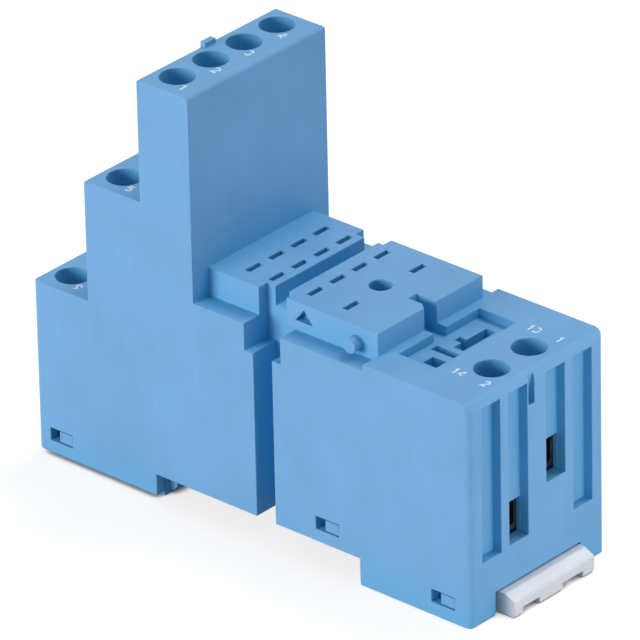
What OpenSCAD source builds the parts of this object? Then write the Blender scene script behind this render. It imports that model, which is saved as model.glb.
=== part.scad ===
// Screw-terminal socket for a 14-pin, four-pole plug-in relay.
// It hooks on a 35 mm rail or is screwed to a panel through its centre hole.
// X runs along the body, the terraces are at -X and the coil block at +X; Z is up from the base plane.

/* [Body] */
// Length of the housing
body_l = 75.9; // [75:0.1:80]
// Width of the housing
body_w = 27; // [26.8:0.1:30]
// Thickness of the outer walls round the base cover
wall = 1.5; // [1.2:0.1:1.7]
// Length of the left section, from the end face to the gap
left_l = 39.1; // [39:0.1:39.8]
// Width of the gap that divides the body
gap = 3.3; // [3:0.1:3.5]
// Radius of the upright corners
corner_r = 0.8; // [0.3:0.1:1.2]
// Radius of the coil block's upper end edge
end_r = 1.5; // [0.5:0.1:1.8]
// Radius of the terraces' edges
edge_r = 0.4; // [0.2:0.1:0.8]

/* [Terraces] */
// Height of the low terrace
low_h = 26.1; // [26:0.1:28]
// Rise from one terrace to the next
terrace_rise = 17.9; // [17.5:0.1:20]
// Length of the low and of the middle terrace
terrace_l = 9.95; // [9.6:0.05:10]
// Length of the tower's top
tower_l = 8.9; // [8.6:0.1:9.4]

/* [Relay seat] */
// Height of the relay seat
seat_h = 36.1; // [35.8:0.1:38]
// Height of the deck beside the seat
deck_h = 32; // [31.5:0.1:32.5]
// Distance of the seat's sides from the body's sides
seat_inset = 3.1; // [2.5:0.1:3.4]
// Right end of the seat's platform
platform_end = 58.1; // [57.7:0.1:58.5]
// Overhang of the platform over the gap
platform_lip = 0.9; // [0.5:0.1:1.2]
// Depth of the groove between the raised block and the platform
groove_d = 2.8; // [2:0.1:3.5]
// Thickness of the seat over the pin forks
seat_t = 1.6; // [1.2:0.1:2]

/* [Relay pins] */
// Pitch of the pins across the body
pin_pitch = 4.4; // [4.3:0.05:4.5]
// First row of pins, from the left end
pin_row_1 = 33.45; // [33.3:0.05:33.6]
// Second row of pins
pin_row_2 = 37.5; // [37.3:0.05:37.6]
// Third row of pins
pin_row_3 = 44.1; // [44:0.05:44.4]
// Row of the two coil pins
pin_row_coil = 50.3; // [50:0.05:50.6]
// Length of a pin slot
pin_slot_l = 2.7; // [2.5:0.1:2.8]
// Width of a pin slot
pin_slot_w = 0.9; // [0.7:0.05:1]

/* [Terminals] */
// Width beside the four terminals' bays, each side
bay_margin = 0.5; // [0.4:0.05:0.7]
// Shift of the terminal columns off the middle
terminal_shift = 0.25; // [0:0.05:0.3]
// Distance of a screw from the face that its wire enters
screw_inset = 3.6; // [3.5:0.05:3.7]
// Diameter of the screwdriver holes
driver_hole_d = 4.9; // [4.7:0.1:5.1]
// Depth of a contact strip's tongue below its terrace
tongue_drop = 11.7; // [11.3:0.1:12]
// Width of a wire entry
entry_w = 3.75; // [3.4:0.05:3.9]
// Height of a wire entry
entry_h = 5.3; // [5:0.1:5.5]

/* [Coil block] */
// Height of the coil block
coil_h = 32.9; // [32.6:0.1:33.5]
// Distance of the coil screws from the end face
coil_inset = 4.3; // [4.2:0.1:4.5]
// Distance between the coil screws
coil_pitch = 7.5; // [7.4:0.1:7.8]
// Depth of the front coil terminal's tongue below the block
coil_drop_front = 18.5; // [18:0.1:18.8]
// Depth of the rear coil terminal's tongue below the block
coil_drop_rear = 12.4; // [12:0.1:13]
// Depth of the channels in the end face
channel_d = 1.4; // [1:0.1:1.5]
// Width of a channel
channel_w = 3.85; // [3.8:0.05:4]
// Height of the outer channels' lower ends
channel_z = 8.8; // [8:0.1:10]

/* [Clamps and screws] */
// Diameter of a screw's shank
screw_d = 2.9; // [2.8:0.05:3]
// Diameter of a screw's head
head_d = 4.4; // [4:0.1:4.5]
// Height of a screw's head
head_h = 1.6; // [1.3:0.1:2]
// Width of a clamp cage
cage_w = 4.6; // [4.5:0.05:4.7]
// Length of a clamp cage along the wire
cage_l = 4.2; // [3.8:0.1:4.2]
// Thickness of a cage's sides
cage_side = 0.7; // [0.6:0.05:0.75]
// Thickness of a cage's floor
cage_floor = 0.8; // [0.6:0.1:1]
// Thickness of a cage's threaded top
cage_top = 1.4; // [1.2:0.1:1.5]
// Height that an open clamp leaves for the wire
wire_gap = 4.2; // [4:0.1:4.4]
// Travel of a cage from open to shut
clamp_travel = 3.8; // [3.5:0.05:3.9]

/* [Contact strips] */
// Thickness of a contact strip
strip_t = 0.8; // [0.6:0.05:0.9]
// Width of a contact strip
strip_w = 2.9; // [2.6:0.05:3]
// Height of the fork that grips a pin
fork_h = 7.8; // [7:0.1:8.2]
// Thickness of a fork's leaves
leaf_t = 0.35; // [0.25:0.05:0.4]
// Half the outer width of a fork
fork_half = 0.95; // [0.9:0.05:1]
// Gap between a fork's leaves where they grip
fork_gap = 0.45; // [0.3:0.05:0.5]
// Height of the middle strips' run above the base plane
middle_run_z = 20.6; // [19:0.1:21.5]

/* [Rail mounting] */
// Left side of the rail recess
rail_x = 21.3; // [21.2:0.1:21.6]
// Width of the rail recess
rail_w = 35.7; // [35.5:0.1:36]
// Depth of the rail recess
rail_d = 3.9; // [3.6:0.1:4.2]
// Reach of the fixed hook and of the clip's nose under the rail
hook_reach = 1.4; // [1:0.1:1.6]
// Room over the hooks for the rail's edge
rail_edge_gap = 1.2; // [1.1:0.05:1.4]
// Height of the left foot's walls above the base plane
foot_lift = 0.75; // [0:0.05:0.9]
// Width of the rail clip
clip_w = 16.8; // [16:0.1:17.4]
// Length of the clip's tab outside the housing
clip_tab = 2.5; // [2:0.1:3.5]
// Way that the clip is pulled out to free the rail
clip_travel = 2.5; // [2:0.1:3]
// Height of the clip's top
clip_top = 3.2; // [2.9:0.1:3.3]
// Diameter of the panel screw's hole
panel_hole_d = 3.2; // [3:0.1:3.4]
// Panel screw's place along the body
panel_hole_x = 49.55; // [49.3:0.05:49.8]

/* [Fits] */
// Play of the strips, cages and base cover in the housing, each side
play = 0.1; // [0.05:0.01:0.15]
// Running clearance of a screw in its cage
thread_play = 0.05; // [0.03:0.01:0.08]

/* [Hidden] */
$fn = 48;
TIERS = ["low", "middle", "tower"];
TERMINALS = [0:13];

cut = 1; // how far a cutting solid runs past a face
mid_y = body_w / 2;
terminal_pitch = (body_w - 2 * bay_margin) / 4;
right_x = left_l + gap;
tower_x = 2 * terrace_l;
seat_x = tower_x + tower_l;
tower_h = low_h + 2 * terrace_rise;
rail_end = rail_x + rail_w;
groove_z = seat_h - groove_d;
seat_rise = seat_h - deck_h;

// Notches for the relay's retaining clip, on both sides of the gap
notch_w = 1.5;
notch_d = 4.7;
notch_z = deck_h - 3.9;

// Base cover and the windows that its hooks snap into: [place along the body, height of the edge below]
cover_t = 1.8;
cover_top = rail_d + cover_t;
foot_top = 1.8;
post_t = 1.4;
window_w = 4;
window_inset = 2.25;
window_h = 1.95;
window_sill = 1.75;
barb_w = 2.4;
barb_gap = 0.2;
hook_t = 1;
WINDOWS = [[window_inset, foot_lift], [rail_end - 7.6, rail_d], [body_l - window_inset - window_w - 0.45, 0.1]];

// Rail hook and rail clip
hook_top = rail_d - rail_edge_gap;
hook_z = 0.7;
clip_z = 0.1;
clip_play = 0.15;
tab_inset = 0.65;
flange_w = 1.2;
flange_z = 1.1;
flange_t = 1.2;
clip_side = (body_w - clip_w) / 2;
clip_nose = rail_end - hook_reach;
clip_end = body_l + clip_tab;

// Coil block: the pocket for a plug-in module and the slots in its floor [from and to, as shares of its length from the far end; low y, high y]
coil_x = body_l - coil_inset;
pocket_strip = 1.6;
pocket_room = coil_x - driver_hole_d / 2 - platform_end - pocket_strip;
pocket_l = pocket_room * 2 / 3;
pocket_x = [platform_end + pocket_strip, platform_end + pocket_strip + pocket_l];
pocket_y = [5.2, 21.3];
pocket_z = coil_h - 1.3;
module_slot_d = 3;
MODULE_SLOTS = [[0.56, 0.3, 12.9, 19.4], [0.75, 0.4, 14.4, 15.5], [0.87, 0, 10.6, 11.8], [0.62, 0.22, 7.2, 9.2]];
channel_y = [2.4, 7.8];

// Strips, forks and the slots that they lie in
slot_w = strip_w + 2 * play;
fork_z = seat_h - seat_t - play - fork_h;
jog_x = [seat_x - 1.2, pin_row_1 - fork_half - 2 * play];
coil_jog_x = [coil_x - 4.7, pin_row_coil + 0.4 * (coil_x - pin_row_coil)];
riser_gap = 0.4;
cage_ceiling = strip_t + 0.15;
slot_d = 0.8;
head_rise = cage_ceiling + cage_top + clamp_travel + 0.15;
PIN_ROWS = [pin_row_3, pin_row_2, pin_row_1];

// Terminals 0 to 3 are low, 4 to 7 middle, 8 to 11 tower, 12 and 13 coil
function is_coil(i) = i > 11;
function tier(i) = floor(i / 4);
function column(i) = i % 4;
function terminal_name(i) = is_coil(i) ? str("coil_", i - 11) : str(TIERS[tier(i)], "_", column(i) + 1);
function tier_x(t) = t * terrace_l;
function tier_top(t) = low_h + t * terrace_rise;
function column_y(c) = mid_y + terminal_shift + (c - 1.5) * terminal_pitch;
function pin_y(c) = mid_y + (c - 1.5) * pin_pitch;
function terminal_x(i) = is_coil(i) ? coil_x : tier_x(tier(i)) + screw_inset;
function terminal_y(i) = is_coil(i) ? mid_y + (i - 12.5) * coil_pitch : column_y(column(i));
function terminal_top(i) = is_coil(i) ? coil_h : tier_top(tier(i));
function tongue_z(i) = i == 12 ? coil_h - coil_drop_front
    : i == 13 ? coil_h - coil_drop_rear : tier_top(tier(i)) - tongue_drop;

// The side that the wire comes from
function wire_side(i) = is_coil(i) ? 1 : -1;
function wire_face(i) = is_coil(i) ? body_l : tier_x(tier(i));
function strip_pin(i) = is_coil(i) ? [pin_row_coil, pin_y(i == 12 ? 0 : 3)]
    : [PIN_ROWS[tier(i)], pin_y(column(i))];

// Low and coil strips run at their tongue's height, the others step down behind the clamp first
function steps_down(i) = !is_coil(i) && tier(i) > 0;
function run_z(i) = !steps_down(i) ? tongue_z(i) : tier(i) == 1 ? middle_run_z : fork_z - strip_t;
function riser_x(i) = terminal_x(i) + cage_l / 2 + riser_gap + strip_t / 2;

// Corners [x, y, radius] of an outline; a radius above 0 makes an arc
function unit(v) = v / norm(v);
function xy(p) = [p[0], p[1]];
function arc_at(before, at, after, r, n = 4) =
    let (a = unit(before - at), b = unit(after - at), half = acos(a * b) / 2)
    let (c = at + unit(a + b) * r / sin(half), u = at + a * r / tan(half) - c, w = at + b * r / tan(half) - c)
    let (start = atan2(u[1], u[0]), turn = atan2(u[0] * w[1] - u[1] * w[0], u * w))
    [for (k = [0:n]) c + r * [cos(start + turn * k / n), sin(start + turn * k / n)]];
function rounded(points) = let (n = len(points)) [for (k = [0:n - 1])
    let (p = points[k], before = points[(k + n - 1) % n], after = points[(k + 1) % n])
    each (p[2] > 0 ? arc_at(xy(before), xy(p), xy(after), p[2]) : [xy(p)])];

// The part's own frame has its origin at the bottom centre of the whole socket
module placed() {
    translate([-clip_end / 2, -mid_y, 0]) children();
}

module box(low, high) {
    translate(low) cube(high - low);
}

// An outline in X and Z, carried from y0 to y1
module side_extrude(y0, y1) {
    translate([0, y1, 0]) rotate([90, 0, 0]) linear_extrude(y1 - y0) children();
}

// Front side, and its mirror image on the rear side
module both_sides() {
    children();
    translate([0, body_w, 0]) mirror([0, 1, 0]) children();
}

// A flat ribbon that follows points seen from above, with its width along Y
module ribbon(points, width, z0, z1) {
    half = [0, width / 2];
    n = len(points) - 1;
    translate([0, 0, z0]) linear_extrude(z1 - z0)
        polygon(concat([for (k = [0:n]) points[k] - half], [for (k = [0:n]) points[n - k] + half]));
}

// A strip's way from its terminal's column to its pin, seen from above
function strip_way(i, x0, x1) = let (y0 = terminal_y(i), y1 = strip_pin(i)[1], jog = is_coil(i) ? coil_jog_x : jog_x)
    [[x0, y0], [jog[0], y0], [jog[1], y1], [x1, y1]];

// ---- Housing ----

module left_block() {
    side_extrude(0, body_w) polygon(rounded([
        [0, foot_lift, 0.7], [rail_x, foot_lift, 0], [rail_x, rail_d, 0], [left_l, rail_d, 0],
        [left_l, deck_h, 0], [seat_x, deck_h, 0], [seat_x, tower_h, edge_r], [tower_x, tower_h, edge_r],
        [tower_x, tier_top(1), 0], [tier_x(1), tier_top(1), edge_r], [tier_x(1), low_h, 0],
        [0, low_h, edge_r]]));
}

module right_block() {
    side_extrude(0, body_w) polygon(rounded([
        [right_x, rail_d, 0], [rail_end, rail_d, 0], [rail_end, 0, edge_r], [body_l, 0, edge_r],
        [body_l, coil_h, end_r], [platform_end, coil_h, 0], [platform_end, deck_h, 0], [right_x, deck_h, 0]]));
}

// Rounds the upright corners of the whole body
module plan_outline() {
    translate([0, 0, -cut]) linear_extrude(tower_h + 2 * cut) polygon(rounded([
        [0, 0, corner_r], [body_l, 0, corner_r], [body_l, body_w, corner_r], [0, body_w, corner_r]]));
}

// Raised block, platform with its lip over the gap, and the web that joins the two sections
module seat_blocks() {
    box([seat_x - cut, seat_inset, deck_h - cut], [left_l, body_w - seat_inset, seat_h]);
    box([right_x, seat_inset, deck_h - cut], [platform_end, body_w - seat_inset, seat_h]);
    box([right_x - platform_lip, notch_d, deck_h - cut], [right_x + cut, body_w - notch_d, seat_h]);
    box([left_l - cut, notch_d, cover_top], [right_x + cut, body_w - notch_d, groove_z]);
}

// Stud that the relay's retaining clip snaps over
module clip_stud() {
    translate([platform_end - 3.7, seat_inset - 1.5, deck_h + 0.41 * seat_rise]) rotate([-90, 0, 0])
        cylinder(d = 2.1, h = 1.5 + cut);
}

module marker_tab() {
    box([tower_x, mid_y - 1, tower_h - cut], [tower_x + 0.9, mid_y + 1, tower_h + 0.7]);
}

// Room for the base cover, open below, and the rail clip's way out of the end face
module cover_room() {
    box([wall, wall, -cut], [left_l - wall, body_w - wall, cover_top]);
    box([right_x + wall, wall, -cut], [body_l - wall, body_w - wall, cover_top]);
    box([left_l - wall - cut, notch_d, -cut], [right_x + wall + cut, body_w - notch_d, cover_top]);
    box([body_l - wall - cut, clip_side - clip_play, -cut],
        [body_l + cut, body_w - clip_side + clip_play, clip_top + 2 * clip_play]);
}

module snap_windows() {
    both_sides() for (w = WINDOWS)
        box([w[0], -cut, w[1] + window_sill],
            [w[0] + window_w, wall + hook_t + 2 * play, w[1] + window_sill + window_h]);
}

module clip_notches() {
    both_sides() {
        box([left_l - notch_w, -cut, notch_z], [left_l + cut, notch_d, seat_h + cut]);
        box([right_x - cut, -cut, notch_z], [right_x + notch_w, notch_d, deck_h]);
    }
}

// Chamber that a cage slides in, driver hole over it and wire entry before it
module terminal_room(i) {
    x = terminal_x(i);
    y = terminal_y(i);
    z = tongue_z(i);
    chamber_w = cage_w / 2 + play;
    chamber_l = cage_l / 2 + play;
    front = x + wire_side(i) * cage_l / 2;
    face = wire_face(i) + wire_side(i) * cut;
    box([x - chamber_l, y - chamber_w, cover_top - play], [x + chamber_l, y + chamber_w, z + head_rise]);
    translate([x, y, z]) cylinder(d = driver_hole_d, h = terminal_top(i) - z + cut);
    box([min(front, face), y - entry_w / 2, z - entry_h], [max(front, face), y + entry_w / 2, z]);
}

// Slots for a contact strip, open below so that it goes in from there
module strip_room(i) {
    pin = strip_pin(i);
    from = cover_top - play;
    ribbon(strip_way(i, terminal_x(i), pin[0]), slot_w, from, run_z(i) + strip_t + play);
    if (steps_down(i))
        box([terminal_x(i), terminal_y(i) - slot_w / 2, from],
            [riser_x(i) + strip_t / 2 + play, terminal_y(i) + slot_w / 2, tongue_z(i) + strip_t + play]);
    box([pin[0] - fork_half - play, pin[1] - slot_w / 2, from],
        [pin[0] + fork_half + play, pin[1] + slot_w / 2, seat_h - seat_t]);
    box([pin[0] - pin_slot_w / 2, pin[1] - pin_slot_l / 2, seat_h - seat_t - cut],
        [pin[0] + pin_slot_w / 2, pin[1] + pin_slot_l / 2, seat_h + cut]);
}

module panel_hole() {
    translate([panel_hole_x, mid_y, -cut]) cylinder(d = panel_hole_d, h = seat_h + 2 * cut);
}

// Pocket for a plug-in module, and the keyed slot that leads to it from the platform's end
module module_pocket() {
    box([pocket_x[0], pocket_y[0], pocket_z], [pocket_x[1], pocket_y[1], coil_h + cut]);
    for (slot = MODULE_SLOTS)
        box([pocket_x[1] - slot[0] * pocket_l, slot[2], pocket_z - module_slot_d],
            [pocket_x[1] - slot[1] * pocket_l, slot[3], coil_h]);
    translate([platform_end, 0, pocket_z]) linear_extrude(seat_h)
        polygon([[-3.4, 13], [-1, 13], [0, 12.2], [pocket_strip + pocket_l / 6, 12.2],
            [pocket_strip + pocket_l / 6, 14.7], [-3.4, 14.7]]);
}

// Channels down the end face: the inner two lead to the wire entries
module end_channels() {
    back = body_l - channel_d;
    top = coil_h - end_r;
    both_sides() box([back, channel_y[0], channel_z], [body_l + cut, channel_y[0] + channel_w, top]);
    for (i = [12, 13])
        box([back, terminal_y(i) - channel_w / 2, tongue_z(i) - entry_h],
            [body_l + cut, terminal_y(i) + channel_w / 2, top]);
    side_extrude(mid_y - 1.6, mid_y - 0.4)
        polygon([[body_l - 0.3, coil_h - 0.6], [body_l - 1.5, coil_h - 4.9], [body_l + cut, coil_h - 4.9],
            [body_l + cut, coil_h - 0.6]]);
}

// Arrow-shaped recess that shows which way round the relay goes
module arrow_recess() {
    side_extrude(seat_inset - cut, seat_inset + 1.2)
        polygon([[right_x + 1.5, deck_h + 0.34 * seat_rise], [right_x + 4.5, deck_h + 0.34 * seat_rise],
            [right_x + 3, deck_h + 0.8 * seat_rise]]);
}

module housing() {
    color([0.42, 0.65, 0.86]) placed() difference() {
        union() {
            intersection() {
                union() {
                    left_block();
                    right_block();
                    seat_blocks();
                }
                plan_outline();
            }
            both_sides() clip_stud();
            marker_tab();
        }
        cover_room();
        snap_windows();
        clip_notches();
        for (i = TERMINALS) terminal_room(i);
        for (i = TERMINALS) strip_room(i);
        panel_hole();
        module_pocket();
        end_channels();
        arrow_recess();
    }
}

// ---- Base cover and rail clip ----

// Tray in the left foot, step up to the rail recess and plate along the rest
module cover_plate() {
    side = wall + play;
    left_end = left_l - wall - play;
    right_start = right_x + wall + play;
    bridge = notch_d + play;
    step = rail_x - cover_t;
    box([side, side, 0], [rail_x, body_w - side, foot_top]);
    box([step, side, 0], [rail_x, body_w - side, cover_top]);
    box([step, side, rail_d], [left_end, body_w - side, cover_top]);
    box([left_end - cut, bridge, rail_d], [right_start + cut, body_w - bridge, cover_top]);
    box([right_start, side, rail_d], [body_l - side, body_w - side, cover_top]);
    box([rail_end, side, clip_top + clip_play], [body_l - side, body_w - side, cover_top]);
    both_sides() box([rail_end, side, 0], [body_l - side, clip_side - clip_play, cover_top]);
}

module fixed_hook() {
    side_extrude(wall + 1, body_w - wall - 1) polygon([
        [rail_x - cut, hook_z], [rail_x + hook_reach - 0.7, hook_z], [rail_x + hook_reach, hook_z + 0.7],
        [rail_x + hook_reach, hook_top], [rail_x - cut, hook_top]]);
}

// Tongues that spring into the housing's windows, each with its barb
module snap_hook(w) {
    sill = w[1] + window_sill;
    x0 = w[0] + window_w - barb_w;
    x1 = w[0] + window_w - play;
    box([x0, wall + play, w[1]], [x1, wall + play + hook_t, sill + window_h - barb_gap]);
    box([x0, play, sill + barb_gap], [x1, wall + play + 0.5, sill + window_h - barb_gap]);
}

// Posts that carry a low or coil strip: they stand in its slot, clear of the forks and of the jog
module strip_posts(i) {
    half = [post_t / 2, strip_w / 2 - play];
    for (x = is_coil(i) ? [coil_jog_x[0] + 1.1, pin_row_coil + 3] : [terrace_l + 1, seat_x - 4.5, pin_row_3 - 3.35]) {
        y = abs(x - strip_pin(i)[0]) < 5 ? strip_pin(i)[1] : terminal_y(i);
        box([x - half[0], y - half[1], (x < rail_x ? foot_top : cover_top) - cut], [x + half[0], y + half[1], run_z(i)]);
    }
}

module clip_guides() {
    both_sides() box([rail_end - cut, clip_side - clip_play - flange_w, flange_z - clip_play],
        [body_l + cut, clip_side, flange_z + flange_t + clip_play]);
}

module base_cover() {
    color([0.4, 0.62, 0.84]) placed() difference() {
        union() {
            cover_plate();
            fixed_hook();
            both_sides() for (w = WINDOWS) snap_hook(w);
            for (i = [0, 1, 2, 3, 12, 13]) strip_posts(i);
        }
        clip_guides();
        panel_hole();
    }
}

// Slide with a nose under the rail's edge, flanges in the cover's guides and a pull tab outside
module rail_clip() {
    tab_notch = [[clip_side + 2.4, clip_side + 5.7], [clip_side + 10.4, clip_side + 14.5]];
    color([0.87, 0.85, 0.89]) placed() difference() {
        union() {
            side_extrude(clip_side, body_w - clip_side) polygon(rounded([
                [clip_nose + 0.9, clip_z, 0], [clip_end, clip_z, 0.3], [clip_end, clip_top - 0.8, 0.4],
                [clip_end - 1.6, clip_top, 0.6], [rail_end + 1.5, clip_top, 0], [rail_end + 0.9, hook_top, 0],
                [clip_nose, hook_top, 0], [clip_nose, clip_z + 1.1, 0]]));
            both_sides() box([rail_end + 3.5, clip_side - flange_w, flange_z],
                [body_l - wall - clip_travel - 2 * play, clip_side + cut, flange_z + flange_t]);
        }
        for (span = tab_notch) box([body_l + 0.6, span[0], clip_z - cut], [clip_end + cut, span[1], clip_z + 1]);
        box([body_l - wall - clip_travel, clip_side - cut, -cut], [clip_end + cut, clip_side + tab_inset, clip_top + cut]);
    }
}

// ---- Terminals ----

module at_terminal(i) {
    placed() translate([terminal_x(i), terminal_y(i), tongue_z(i)]) children();
}

// M3 screw: its tip bears on the strip's tongue, so it turns without moving along
module screw(i) {
    color([0.78, 0.79, 0.8]) at_terminal(i) difference() {
        union() {
            translate([0, 0, strip_t]) cylinder(d = screw_d, h = head_rise - strip_t);
            translate([0, 0, head_rise]) cylinder(d = head_d, h = head_h);
        }
        for (half = [[head_d, 0.4], [0.4, 1.4]])
            box([-half[0], -half[1], head_rise + head_h - slot_d], [half[0], half[1], head_rise + head_h + cut]);
    }
}

// Box clamp, drawn in its open, lowest place
module clamp(i) {
    z0 = -wire_gap - cage_floor;
    z1 = cage_ceiling + cage_top;
    color([0.7, 0.71, 0.73]) at_terminal(i) difference() {
        box([-cage_l / 2, -cage_w / 2, z0], [cage_l / 2, cage_w / 2, z1]);
        box([-cage_l, -cage_w / 2 + cage_side, -wire_gap], [cage_l, cage_w / 2 - cage_side, cage_ceiling]);
        cylinder(d = screw_d + 2 * thread_play, h = z1 + cut);
    }
}

// Fork that grips a pin: two leaves on a common base, drawn with its base at the origin
module fork() {
    leaf = [[fork_half, 0], [fork_half, 2.2], [fork_gap / 2 + leaf_t, fork_h - 1.4],
        [fork_gap / 2 + leaf_t + 0.35, fork_h], [fork_gap / 2 + 0.35, fork_h], [fork_gap / 2, fork_h - 1.4],
        [fork_half - leaf_t, 2.2], [fork_half - leaf_t, leaf_t]];
    n = len(leaf) - 1;
    side_extrude(-strip_w / 2, strip_w / 2)
        polygon(concat(leaf, [for (k = [0:n]) [-leaf[n - k][0], leaf[n - k][1]]]));
}

module contact(i) {
    x = terminal_x(i);
    y = [terminal_y(i) - strip_w / 2, terminal_y(i) + strip_w / 2];
    z = run_z(i);
    pin = strip_pin(i);
    tongue_end = x + wire_side(i) * cage_l / 2;
    pin_end = pin[0] - wire_side(i) * (tier(i) == 2 ? fork_half : strip_t / 2);
    color([0.82, 0.68, 0.4]) placed() {
        ribbon(strip_way(i, steps_down(i) ? riser_x(i) - strip_t / 2 : tongue_end, pin_end), strip_w, z, z + strip_t);
        if (steps_down(i)) {
            box([tongue_end, y[0], tongue_z(i)], [riser_x(i) + strip_t / 2, y[1], tongue_z(i) + strip_t]);
            box([riser_x(i) - strip_t / 2, y[0], z], [riser_x(i) + strip_t / 2, y[1], tongue_z(i) + strip_t]);
        }
        if (z + strip_t < fork_z)
            box([pin[0] - strip_t / 2, pin[1] - strip_w / 2, z], [pin[0] + strip_t / 2, pin[1] + strip_w / 2, fork_z + leaf_t]);
        translate([pin[0], pin[1], fork_z]) {
            fork();
            box([-fork_half, -slot_w / 2, 0], [fork_half, slot_w / 2, leaf_t]); // barbs that bite in the shaft
        }
    }
}

housing();
base_cover();
rail_clip();
for (i = TERMINALS) {
    screw(i);
    clamp(i);
    contact(i);
}
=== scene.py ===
"""A terraced screw-terminal socket for a plug-in relay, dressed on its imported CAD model."""

import math

import bpy
import numpy as np
from mathutils import Matrix, Vector


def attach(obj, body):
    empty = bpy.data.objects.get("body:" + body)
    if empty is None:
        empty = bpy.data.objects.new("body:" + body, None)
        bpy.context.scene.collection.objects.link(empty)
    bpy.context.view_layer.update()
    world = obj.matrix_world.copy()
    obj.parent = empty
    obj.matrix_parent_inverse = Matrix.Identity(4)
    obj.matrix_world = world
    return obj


MM = 0.001

# The socket's own measures, in millimetres from its terrace end, front side and base plane
BODY_L, BODY_W, CLIP_TAB = 75.9, 27.0, 2.5
TERRACES, COLUMNS = 3, 4
LOW_H, TERRACE_RISE, TERRACE_L = 26.1, 17.9, 9.95
SCREW_INSET, TERMINAL_PITCH, TERMINAL_SHIFT = 3.6, 6.5, 0.25
COIL_H, COIL_INSET, COIL_PITCH = 32.9, 4.3, 7.5

# Pad-printed numbers, in millimetres: how large they are, and where they stand from the screw hole
NUMBER_H, NUMBER_STROKE, INK_T = 1.4, 0.24, 0.02
NUMBER_PAST_HOLE, NUMBER_BESIDE_HOLE, NUMBER_FROM_EDGE = 2.75, 2.0, 1.3
# Beside the coil screws: piece, number, side of the middle, and how far it is past and beside the hole
COIL_NUMBERS = [("number_14", "14", -1, -2.6, 3.45), ("number_14b", "2", -1, 2.1, 3.65),
                ("number_13", "13", 1, -2.7, 4.15), ("number_13b", "1", 1, 1.8, 3.95)]

# A digit's width and the gap after it, as shares of its height
DIGIT_W, DIGIT_GAP = 0.6, 0.22

# A Mix node's two colours going in and its colour coming out
MIX_FIRST, MIX_SECOND, MIX_RESULT = 6, 7, 2

# Colours: the body, a paler blue painted on its edges as a highlight, and the factors that turn it into
# painted shade in holes and corners
BLUE, EDGE_HIGHLIGHT_BLUE, CORNER_SHADE_FACTORS = (0.197, 0.415, 0.70), (0.34, 0.58, 0.86), (0.7, 1.08, 1.04)
COVER_SHADE = 0.97

# Lamps a little warm, room a little cool
WARM, COOL, WHITE = (1.0, 0.97, 0.94), (0.45, 0.82, 1.0), (1.0, 1.0, 1.0)

# Each lamp: where it stands from the socket, how far off and how wide in metres, and its watts
LAMPS = {
    "key": ((-0.35, -1.0, 0.22), 0.9, 0.5, 6.3),
    "top": ((0.1, 0.5, 1.0), 0.9, 0.5, 4.2),
    "fill": ((1.0, 0.05, -0.15), 0.14, 0.1, 0.1),
}
LAMPS_AIM_H, ROOM_LIGHT, FLOOR_HALF = 0.03, 0.34, 3.0

# A long lens a good metre off, turned a little round its own axis as a hand-held one is
CAMERA_AZIMUTH, CAMERA_ELEVATION, CAMERA_ROLL = 41.818, 28.122, -1.273
CAMERA_DISTANCE, CAMERA_AIM = 1.2169, (37.65, 13.5, 25.0)
SENSOR, LENS, LENS_SHIFT = 36.0, 521.59, (0.01029, 0.0207)


def place(x, y, z):
    """A point measured on the socket, moved into the row frame: minus half the overall length and width."""
    return np.array([x - (BODY_L + CLIP_TAB) / 2, y - BODY_W / 2, z]) * MM


# ---- Shader recipes ----


class Value:
    """A number that varies over a surface: one output socket, on which arithmetic adds Math nodes."""

    def __init__(self, recipe, socket):
        self.recipe, self.socket = recipe, socket

    def _maths(self, operation, first, second):
        return self.recipe.node("ShaderNodeMath", {"operation": operation}, {0: first, 1: second})

    def __add__(self, other):
        return self._maths("ADD", self, other)

    def __radd__(self, other):
        return self._maths("ADD", other, self)

    def __sub__(self, other):
        return self._maths("SUBTRACT", self, other)

    def __rsub__(self, other):
        return self._maths("SUBTRACT", other, self)

    def __mul__(self, other):
        return self._maths("MULTIPLY", self, other)

    def __rmul__(self, other):
        return self._maths("MULTIPLY", other, self)


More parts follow.
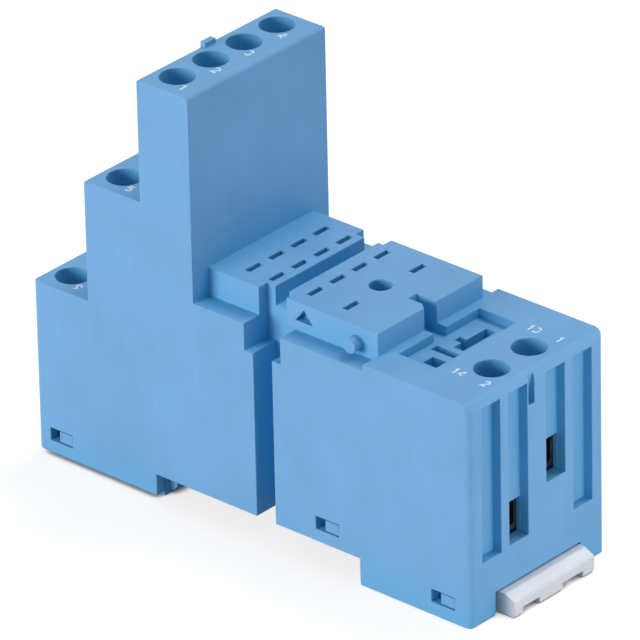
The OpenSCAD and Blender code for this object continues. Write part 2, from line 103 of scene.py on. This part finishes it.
class Recipe:
    """The nodes of one material, or of the world, and the surface that they end in."""

    def __init__(self, owner):
        self.owner = owner
        owner.use_nodes = True
        self.tree = owner.node_tree
        self.tree.nodes.clear()

    def node(self, kind, settings=None, sockets=None, out=0):
        """Adds a node: first its settings, a ramp's stops among them, then its sockets' values or links."""
        made = self.tree.nodes.new(kind)
        for name, value in (settings or {}).items():
            if name == "stops":
                ramp = made.color_ramp.elements
                while len(ramp) < len(value):
                    ramp.new(0.5)
                for element, (position, colour) in zip(ramp, value):
                    element.position, element.color = position, colour
            else:
                setattr(made, name, value)
        for name, value in (sockets or {}).items():
            if isinstance(value, Value):
                self.tree.links.new(value.socket, made.inputs[name])
            else:
                made.inputs[name].default_value = value
        return Value(self, made.outputs[out]) if made.outputs else None

    def place_in(self, stretch=(1, 1, 1)):
        """Object coordinates in millimetres, drawn out along an axis by a factor below 1."""
        where = self.node("ShaderNodeTexCoord", out="Object")
        return self.node("ShaderNodeMapping", {}, {0: where, "Scale": [s / MM for s in stretch]})

    def noise(self, where, per_mm, detail=2.0, rough=0.5):
        """Soft noise between 0 and 1, with about per_mm spots to the millimetre."""
        sockets = {"Vector": where, "Scale": per_mm, "Detail": detail, "Roughness": rough}
        return self.node("ShaderNodeTexNoise", {}, sockets)

    def between(self, low, high, value):
        """A ramp from 0 at low to 1 at high."""
        stops = [(low, (0, 0, 0, 1)), (high, (1, 1, 1, 1))]
        return self.node("ShaderNodeValToRGB", {"stops": stops}, {0: value})

    def mix(self, factor, first, second):
        """A colour on the way from first to second."""
        sockets = {"Factor": factor, MIX_FIRST: first, MIX_SECOND: second}
        return self.node("ShaderNodeMix", {"data_type": "RGBA"}, sockets, MIX_RESULT)

    def soft_edges(self, radius):
        """The surface's direction, with each edge rounded over a radius in millimetres."""
        return self.node("ShaderNodeBevel", {"samples": 6}, {"Radius": radius * MM})

    def edge_mask(self, rounded, gain=5.0):
        """0 on a flat face, and more where the rounded direction leaves the true one: 1 minus their dot
        product, times a gain."""
        true = self.node("ShaderNodeNewGeometry", out="True Normal")
        dot = self.node("ShaderNodeVectorMath", {"operation": "DOT_PRODUCT"}, {0: rounded, 1: true}, "Value")
        return self.node("ShaderNodeClamp", {}, {0: (1 - dot) * gain})

    def openness(self, reach, samples=8):
        """1 on an open face and less in holes and corners: the share of all directions in which nothing lies
        within reach."""
        sockets = {"Distance": reach * MM}
        return self.node("ShaderNodeAmbientOcclusion", {"samples": samples}, sockets, "AO")

    def seen(self):
        """1 to the camera and in reflections, and 0 to light that is on its way between surfaces."""
        to_camera = self.node("ShaderNodeLightPath", out="Is Camera Ray")
        return to_camera + self.node("ShaderNodeLightPath", out="Is Glossy Ray")

    def relief(self, height, depth, over):
        """A bump of that depth in millimetres, on top of the direction over."""
        sockets = {"Height": height, "Distance": depth * MM, "Strength": 1.0, "Normal": over}
        return self.node("ShaderNodeBump", {}, sockets)

    def surface(self, **sockets):
        """Ends the recipe in a Principled surface; a socket's name has _ for each space."""
        named = {name.replace("_", " "): value for name, value in sockets.items()}
        shader = self.node("ShaderNodeBsdfPrincipled", {}, named)
        self.node("ShaderNodeOutputMaterial", {}, {"Surface": shader})
        return self.owner


def moulded(name, colour, sheen_rough):
    """Moulded thermoplastic: a fine spark-eroded grain, slow clouds of lighter and darker blue, faint flow
    lines up the walls, shade painted into holes and corners as a darker, more saturated blue, and a highlight
    painted on the edges as a paler blue."""
    r = Recipe(bpy.data.materials.new(name))
    where = r.place_in()
    clouds = r.noise(where, per_mm=0.12, detail=3.0)
    flow = r.noise(r.place_in((1, 1, 0.12)), per_mm=0.9)
    grain = r.noise(where, per_mm=7.0, rough=0.6)
    rounded = r.soft_edges(radius=0.22)
    edge = r.edge_mask(rounded)
    shade = r.between(0.3, 0.7, clouds * 0.7 + flow * 0.3)
    dark = [c * 0.94 for c in colour] + [1]
    light = [min(1, c * 1.05 + 0.004) for c in colour] + [1]
    # Painted shade: where ambient occlusion finds walls near, holes and corners turn a darker, more saturated
    # blue
    painted_corner_shade = [min(1, c * f) for c, f in zip(colour, CORNER_SHADE_FACTORS)] + [1]
    # Painted highlight: the edges are lightened towards a paler blue
    body = r.mix(edge * 0.35, r.mix(shade, dark, light), [*EDGE_HIGHLIGHT_BLUE, 1])
    body = r.mix(r.between(0.3, 0.95, r.openness(reach=7.0)), painted_corner_shade, body)
    rough = sheen_rough + (grain - 0.5) * 0.16 + (clouds - 0.5) * 0.1 - edge * 0.06
    normal = r.relief(grain, depth=0.012, over=rounded)
    return r.surface(Base_Color=body, Roughness=rough, Normal=normal, IOR=1.5, Specular_IOR_Level=0.15)


def zinc_steel(name, dull, bright):
    """Zinc-plated steel: a mottled bloom between a dull and a bright grey, and fine rolling lines."""
    r = Recipe(bpy.data.materials.new(name))
    lines = r.noise(r.place_in((6, 6, 0.3)), per_mm=1.2, detail=3.0)
    bloom = r.noise(r.place_in(), per_mm=0.8, detail=4.0, rough=0.6)
    tint = r.mix(r.between(0.35, 0.7, bloom), [*dull, 1], [*bright, 1])
    rough = 0.28 + lines * 0.12 + bloom * 0.12
    normal = r.relief(lines, depth=0.006, over=r.soft_edges(radius=0.08))
    return r.surface(Base_Color=tint, Metallic=1.0, Roughness=rough, Normal=normal)


def stamped_brass(name):
    """Stamped brass: warm, slightly tarnished in patches, with rolling lines along the strip."""
    r = Recipe(bpy.data.materials.new(name))
    lines = r.noise(r.place_in((0.2, 5, 5)), per_mm=1.5, detail=3.0)
    patches = r.noise(r.place_in(), per_mm=0.35, detail=4.0, rough=0.6)
    tint = r.mix(r.between(0.4, 0.75, patches), [0.80, 0.60, 0.30, 1], [0.55, 0.38, 0.18, 1])
    rough = 0.26 + lines * 0.14 + patches * 0.1
    normal = r.relief(lines, depth=0.005, over=r.soft_edges(radius=0.06))
    return r.surface(Base_Color=tint, Metallic=1.0, Roughness=rough, Normal=normal)


def pale_slide(name):
    """Milky unfilled nylon: pale lilac grey, smoother than the body and a little cloudy inside, with a paler
    highlight painted on its edges.
    """
    r = Recipe(bpy.data.materials.new(name))
    where = r.place_in()
    clouds = r.noise(where, per_mm=0.35, detail=3.0)
    grain = r.noise(where, per_mm=5.0)
    rounded = r.soft_edges(radius=0.25)
    tint = r.mix(r.between(0.3, 0.7, clouds), [0.75, 0.7, 0.73, 1], [0.82, 0.77, 0.8, 1])
    # Painted highlight: the edges are lightened towards a paler grey
    tint = r.mix(r.edge_mask(rounded) * 0.5, tint, [0.88, 0.86, 0.88, 1])
    rough = 0.38 + (grain - 0.5) * 0.12
    normal = r.relief(grain, depth=0.006, over=rounded)
    return r.surface(Base_Color=tint, Roughness=rough, Normal=normal, IOR=1.53)


def pad_print(name):
    """White pad-printing ink: thin, matt, with the tiny pinholes of a worn pad."""
    r = Recipe(bpy.data.materials.new(name))
    pinholes = r.between(0.28, 0.42, r.noise(r.place_in(), per_mm=9.0))
    tint = r.mix(pinholes, [0.55, 0.70, 0.86, 1], [0.84, 0.92, 0.97, 1])
    return r.surface(Base_Color=tint, Roughness=0.6 - pinholes * 0.08)


def studio_floor(name):
    """Plain floor: to the camera white with a soft shadow, darkest where the socket touches it, and to the
    light that it bounces mid grey."""
    r = Recipe(bpy.data.materials.new(name))
    seen = r.seen()
    tint = r.mix(seen, [0.32, 0.4, 0.44, 1], [0.5, 0.48, 0.46, 1])
    clear = r.between(0.16, 0.58, r.openness(reach=1.8, samples=12))
    glow = r.mix(seen * clear, [0, 0, 0, 1], [0.74, 0.7, 0.69, 1])
    return r.surface(Base_Color=tint, Roughness=0.95, Emission_Color=glow, Emission_Strength=1.0)


# ---- New pieces ----


def put(name, data):
    """Makes an object of the data and puts it in the scene."""
    made = bpy.data.objects.new(name, data)
    bpy.context.scene.collection.objects.link(made)
    return made


def finished(name, points, faces, material, body):
    """Puts arrays of points (metres) and faces into a mesh, with its finish, on its body."""
    mesh = bpy.data.meshes.new(name)
    mesh.from_pydata(points.tolist(), [], faces.tolist())
    mesh.update()
    piece = put(name, mesh)
    mesh.materials.append(material)
    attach(piece, body)
    return piece


def arc(cx, cy, rx, ry, start, end, count=14):
    """Points c + (rx cos a, ry sin a) for a from start to end, in degrees."""
    a = np.radians(np.linspace(start, end, count))
    return np.stack([cx + rx * np.cos(a), cy + ry * np.sin(a)], 1)


def line(*points):
    """A stretch of straight lines through the given points."""
    return np.array(points, float)


# Centre lines of the numerals, in a box DIGIT_W wide and 1 high
STROKES = {
    "0": [arc(0.3, 0.5, 0.26, 0.46, 90, 450, 28)],
    "1": [line((0.12, 0.76), (0.34, 0.96), (0.34, 0.04))],
    "2": [np.concatenate([arc(0.3, 0.7, 0.25, 0.26, 165, -35), line((0.04, 0.04), (0.57, 0.04))])],
    "3": [arc(0.28, 0.74, 0.24, 0.22, 150, -90), arc(0.28, 0.28, 0.27, 0.24, 90, -150)],
    "4": [line((0.44, 0.04), (0.44, 0.96), (0.03, 0.32), (0.58, 0.32))],
    "5": [np.concatenate([line((0.53, 0.96), (0.12, 0.96), (0.08, 0.56)),
                          arc(0.28, 0.33, 0.27, 0.29, 115, -145)])],
    "6": [np.concatenate([line((0.46, 0.96), (0.18, 0.62)), arc(0.3, 0.3, 0.25, 0.26, 150, 510, 24)])],
    "7": [line((0.04, 0.96), (0.56, 0.96), (0.22, 0.04))],
    "8": [arc(0.3, 0.73, 0.21, 0.23, -90, 270, 22), arc(0.3, 0.27, 0.26, 0.23, 90, 450, 24)],
    "9": [np.concatenate([line((0.14, 0.04), (0.42, 0.38)), arc(0.3, 0.7, 0.25, 0.26, -30, 330, 24)])],
}


def inked(path, stroke, thick, tightest=0.5):
    """A pen line: at each point of the path the two sides lie half a stroke along the mean normal of the
    segments that meet there, divided by the cosine of half their turn or by tightest. It has one level just
    inside the plastic and one above it, and both ends are closed."""
    ahead = np.diff(path, axis=0)
    ahead /= np.linalg.norm(ahead, axis=1)[:, None]
    along = np.concatenate([ahead[:1], ahead[:-1] + ahead[1:], ahead[-1:]])
    along /= np.linalg.norm(along, axis=1)[:, None]
    corner = np.concatenate([[1.0], np.clip((along[1:-1] * ahead[1:]).sum(1), tightest, 1), [1.0]])
    side = np.stack([-along[:, 1], along[:, 0]], 1) * (stroke / 2 / corner)[:, None]
    n = len(path)
    ring = np.stack([path - side, path + side, path + side, path - side], 1)
    level = np.tile([-thick / 2, -thick / 2, thick, thick], (n, 1))
    points = np.concatenate([ring, level[..., None]], 2).reshape(-1, 3)
    i = np.arange(n - 1)[:, None] * 4
    j = np.arange(4)[None, :]
    k = (j + 1) % 4
    walls = np.stack([i + j, i + k, i + 4 + k, i + 4 + j], 2).reshape(-1, 4)
    ends = np.array([[3, 2, 1, 0], [4 * n - 4, 4 * n - 3, 4 * n - 2, 4 * n - 1]])
    return points, np.concatenate([walls, ends])


def numeral(name, word, x, y, z, ink):
    """A printed number centred on a point of an upward face, made of its digits' pen lines."""
    points, faces, base = [], [], 0
    step = (DIGIT_W + DIGIT_GAP) * NUMBER_H
    start = x - (step * len(word) - DIGIT_GAP * NUMBER_H) / 2
    for order, digit in enumerate(word):
        left = start + order * step
        for stroke in STROKES[digit]:
            path = stroke * NUMBER_H + [left, y - NUMBER_H / 2]
            p, f = inked(path, NUMBER_STROKE, INK_T)
            points.append(p + [0, 0, z])
            faces.append(f + base)
            base += len(p)
    points = np.concatenate(points) * MM + place(0, 0, 0)
    return finished(name, points, np.concatenate(faces), ink, "base")


def terminal_numbers(ink):
    """Numbers beside the screw holes: 9 to 12, 5 to 8 and 1 to 4 on the terraces from the lowest to the
    tower, and 13 and 14 with 1 and 2 beside the two coil screws, each on its own side of the middle."""
    for tier in range(TERRACES):
        for column in range(COLUMNS):
            number = str((TERRACES - 1 - tier) * COLUMNS + column + 1)
            x = tier * TERRACE_L + SCREW_INSET + NUMBER_PAST_HOLE
            hole_y = BODY_W / 2 + TERMINAL_SHIFT + (column - (COLUMNS - 1) / 2) * TERMINAL_PITCH
            y = max(hole_y - NUMBER_BESIDE_HOLE, NUMBER_FROM_EDGE)
            numeral(f"number_{number}", number, x, y, LOW_H + tier * TERRACE_RISE, ink)
    for name, word, side, past_hole, beside_hole in COIL_NUMBERS:
        x = BODY_L - COIL_INSET + past_hole
        y = BODY_W / 2 + side * (COIL_PITCH / 2 + beside_hole)
        numeral(name, word, x, y, COIL_H, ink)


# ---- Studio ----


def lay_floor():
    """One flat square under the socket."""
    corners = np.array([[-1, -1, 0], [1, -1, 0], [1, 1, 0], [-1, 1, 0]]) * FLOOR_HALF
    mesh = bpy.data.meshes.new("floor")
    mesh.from_pydata(corners.tolist(), [], [[0, 1, 2, 3]])
    mesh.materials.append(studio_floor("floor"))
    floor = put("floor", mesh)


def hang_lamps():
    """Round lamps, each facing a point low in the socket."""
    for name, (towards, distance, width, watts) in LAMPS.items():
        data = bpy.data.lights.new(name, "AREA")
        data.color = WARM
        data.shape, data.size, data.energy = "DISK", width, watts
        lamp = put(name, data)
        lamp.location = Vector(towards).normalized() * distance + Vector((0, 0, LAMPS_AIM_H))
        lamp.rotation_euler = Vector(towards).to_track_quat("Z", "Y").to_euler()


def light_room():
    """A dim cool room, which is white to the camera and in reflections."""
    r = Recipe(bpy.data.worlds.new("studio"))
    room = r.node("ShaderNodeBackground", {}, {0: (*COOL, 1), 1: ROOM_LIGHT})
    white = r.node("ShaderNodeBackground", {}, {0: (*WHITE, 1), 1: 1.0})
    both = r.node("ShaderNodeMixShader", {}, {0: r.seen(), 1: room, 2: white})
    r.node("ShaderNodeOutputWorld", {}, {0: both})
    bpy.context.scene.world = r.owner


def stand_camera():
    """The camera looks back along its azimuth and elevation at the point that it aims at, rolled a little."""
    azimuth, elevation = math.radians(CAMERA_AZIMUTH), math.radians(CAMERA_ELEVATION)
    right = Vector((math.cos(azimuth), math.sin(azimuth), 0))
    away = Vector((math.sin(azimuth), -math.cos(azimuth), 0))
    back = away * math.cos(elevation) + Vector((0, 0, math.sin(elevation)))
    roll = Matrix.Rotation(math.radians(CAMERA_ROLL), 3, "Z")
    data = bpy.data.cameras.new("camera")
    data.sensor_width, data.lens = SENSOR, LENS
    data.shift_x, data.shift_y = LENS_SHIFT
    data.clip_start, data.clip_end = 0.05, 20
    camera = put("camera", data)
    camera.matrix_world = (Matrix((right, back.cross(right), back)).transposed() @ roll).to_4x4()
    camera.location = Vector(place(*CAMERA_AIM)) + back * CAMERA_DISTANCE
    bpy.context.scene.camera = camera


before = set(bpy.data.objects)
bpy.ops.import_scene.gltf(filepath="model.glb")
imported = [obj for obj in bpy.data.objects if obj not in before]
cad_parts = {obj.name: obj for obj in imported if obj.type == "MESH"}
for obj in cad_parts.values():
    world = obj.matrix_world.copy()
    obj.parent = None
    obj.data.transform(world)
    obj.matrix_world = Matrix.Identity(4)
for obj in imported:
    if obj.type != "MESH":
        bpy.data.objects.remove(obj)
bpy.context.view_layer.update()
bpy.context.scene.view_settings.view_transform = "Standard"
stand_camera()
lay_floor()
hang_lamps()
light_room()

# The finish of each piece, by the first word of its name
finishes = {
    "housing": moulded("moulded_body_blue", BLUE, 0.42),
    "base": moulded("moulded_cover_blue", [c * COVER_SHADE for c in BLUE], 0.46),
    "rail": pale_slide("milky_slide"),
    "screw": zinc_steel("bright_zinc", (0.50, 0.51, 0.53), (0.72, 0.72, 0.70)),
    # Painted shade: the clamps are near-black so that the wire entries look dark inside
    "clamp": zinc_steel("near_black_zinc_for_painted_shade", (0.08, 0.08, 0.09), (0.15, 0.15, 0.16)),
    "contact": stamped_brass("stamped_brass"),
}
for name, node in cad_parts.items():
    for slot in node.material_slots:
        slot.material = finishes[name.split("_")[0]]

terminal_numbers(pad_print("pad_print"))
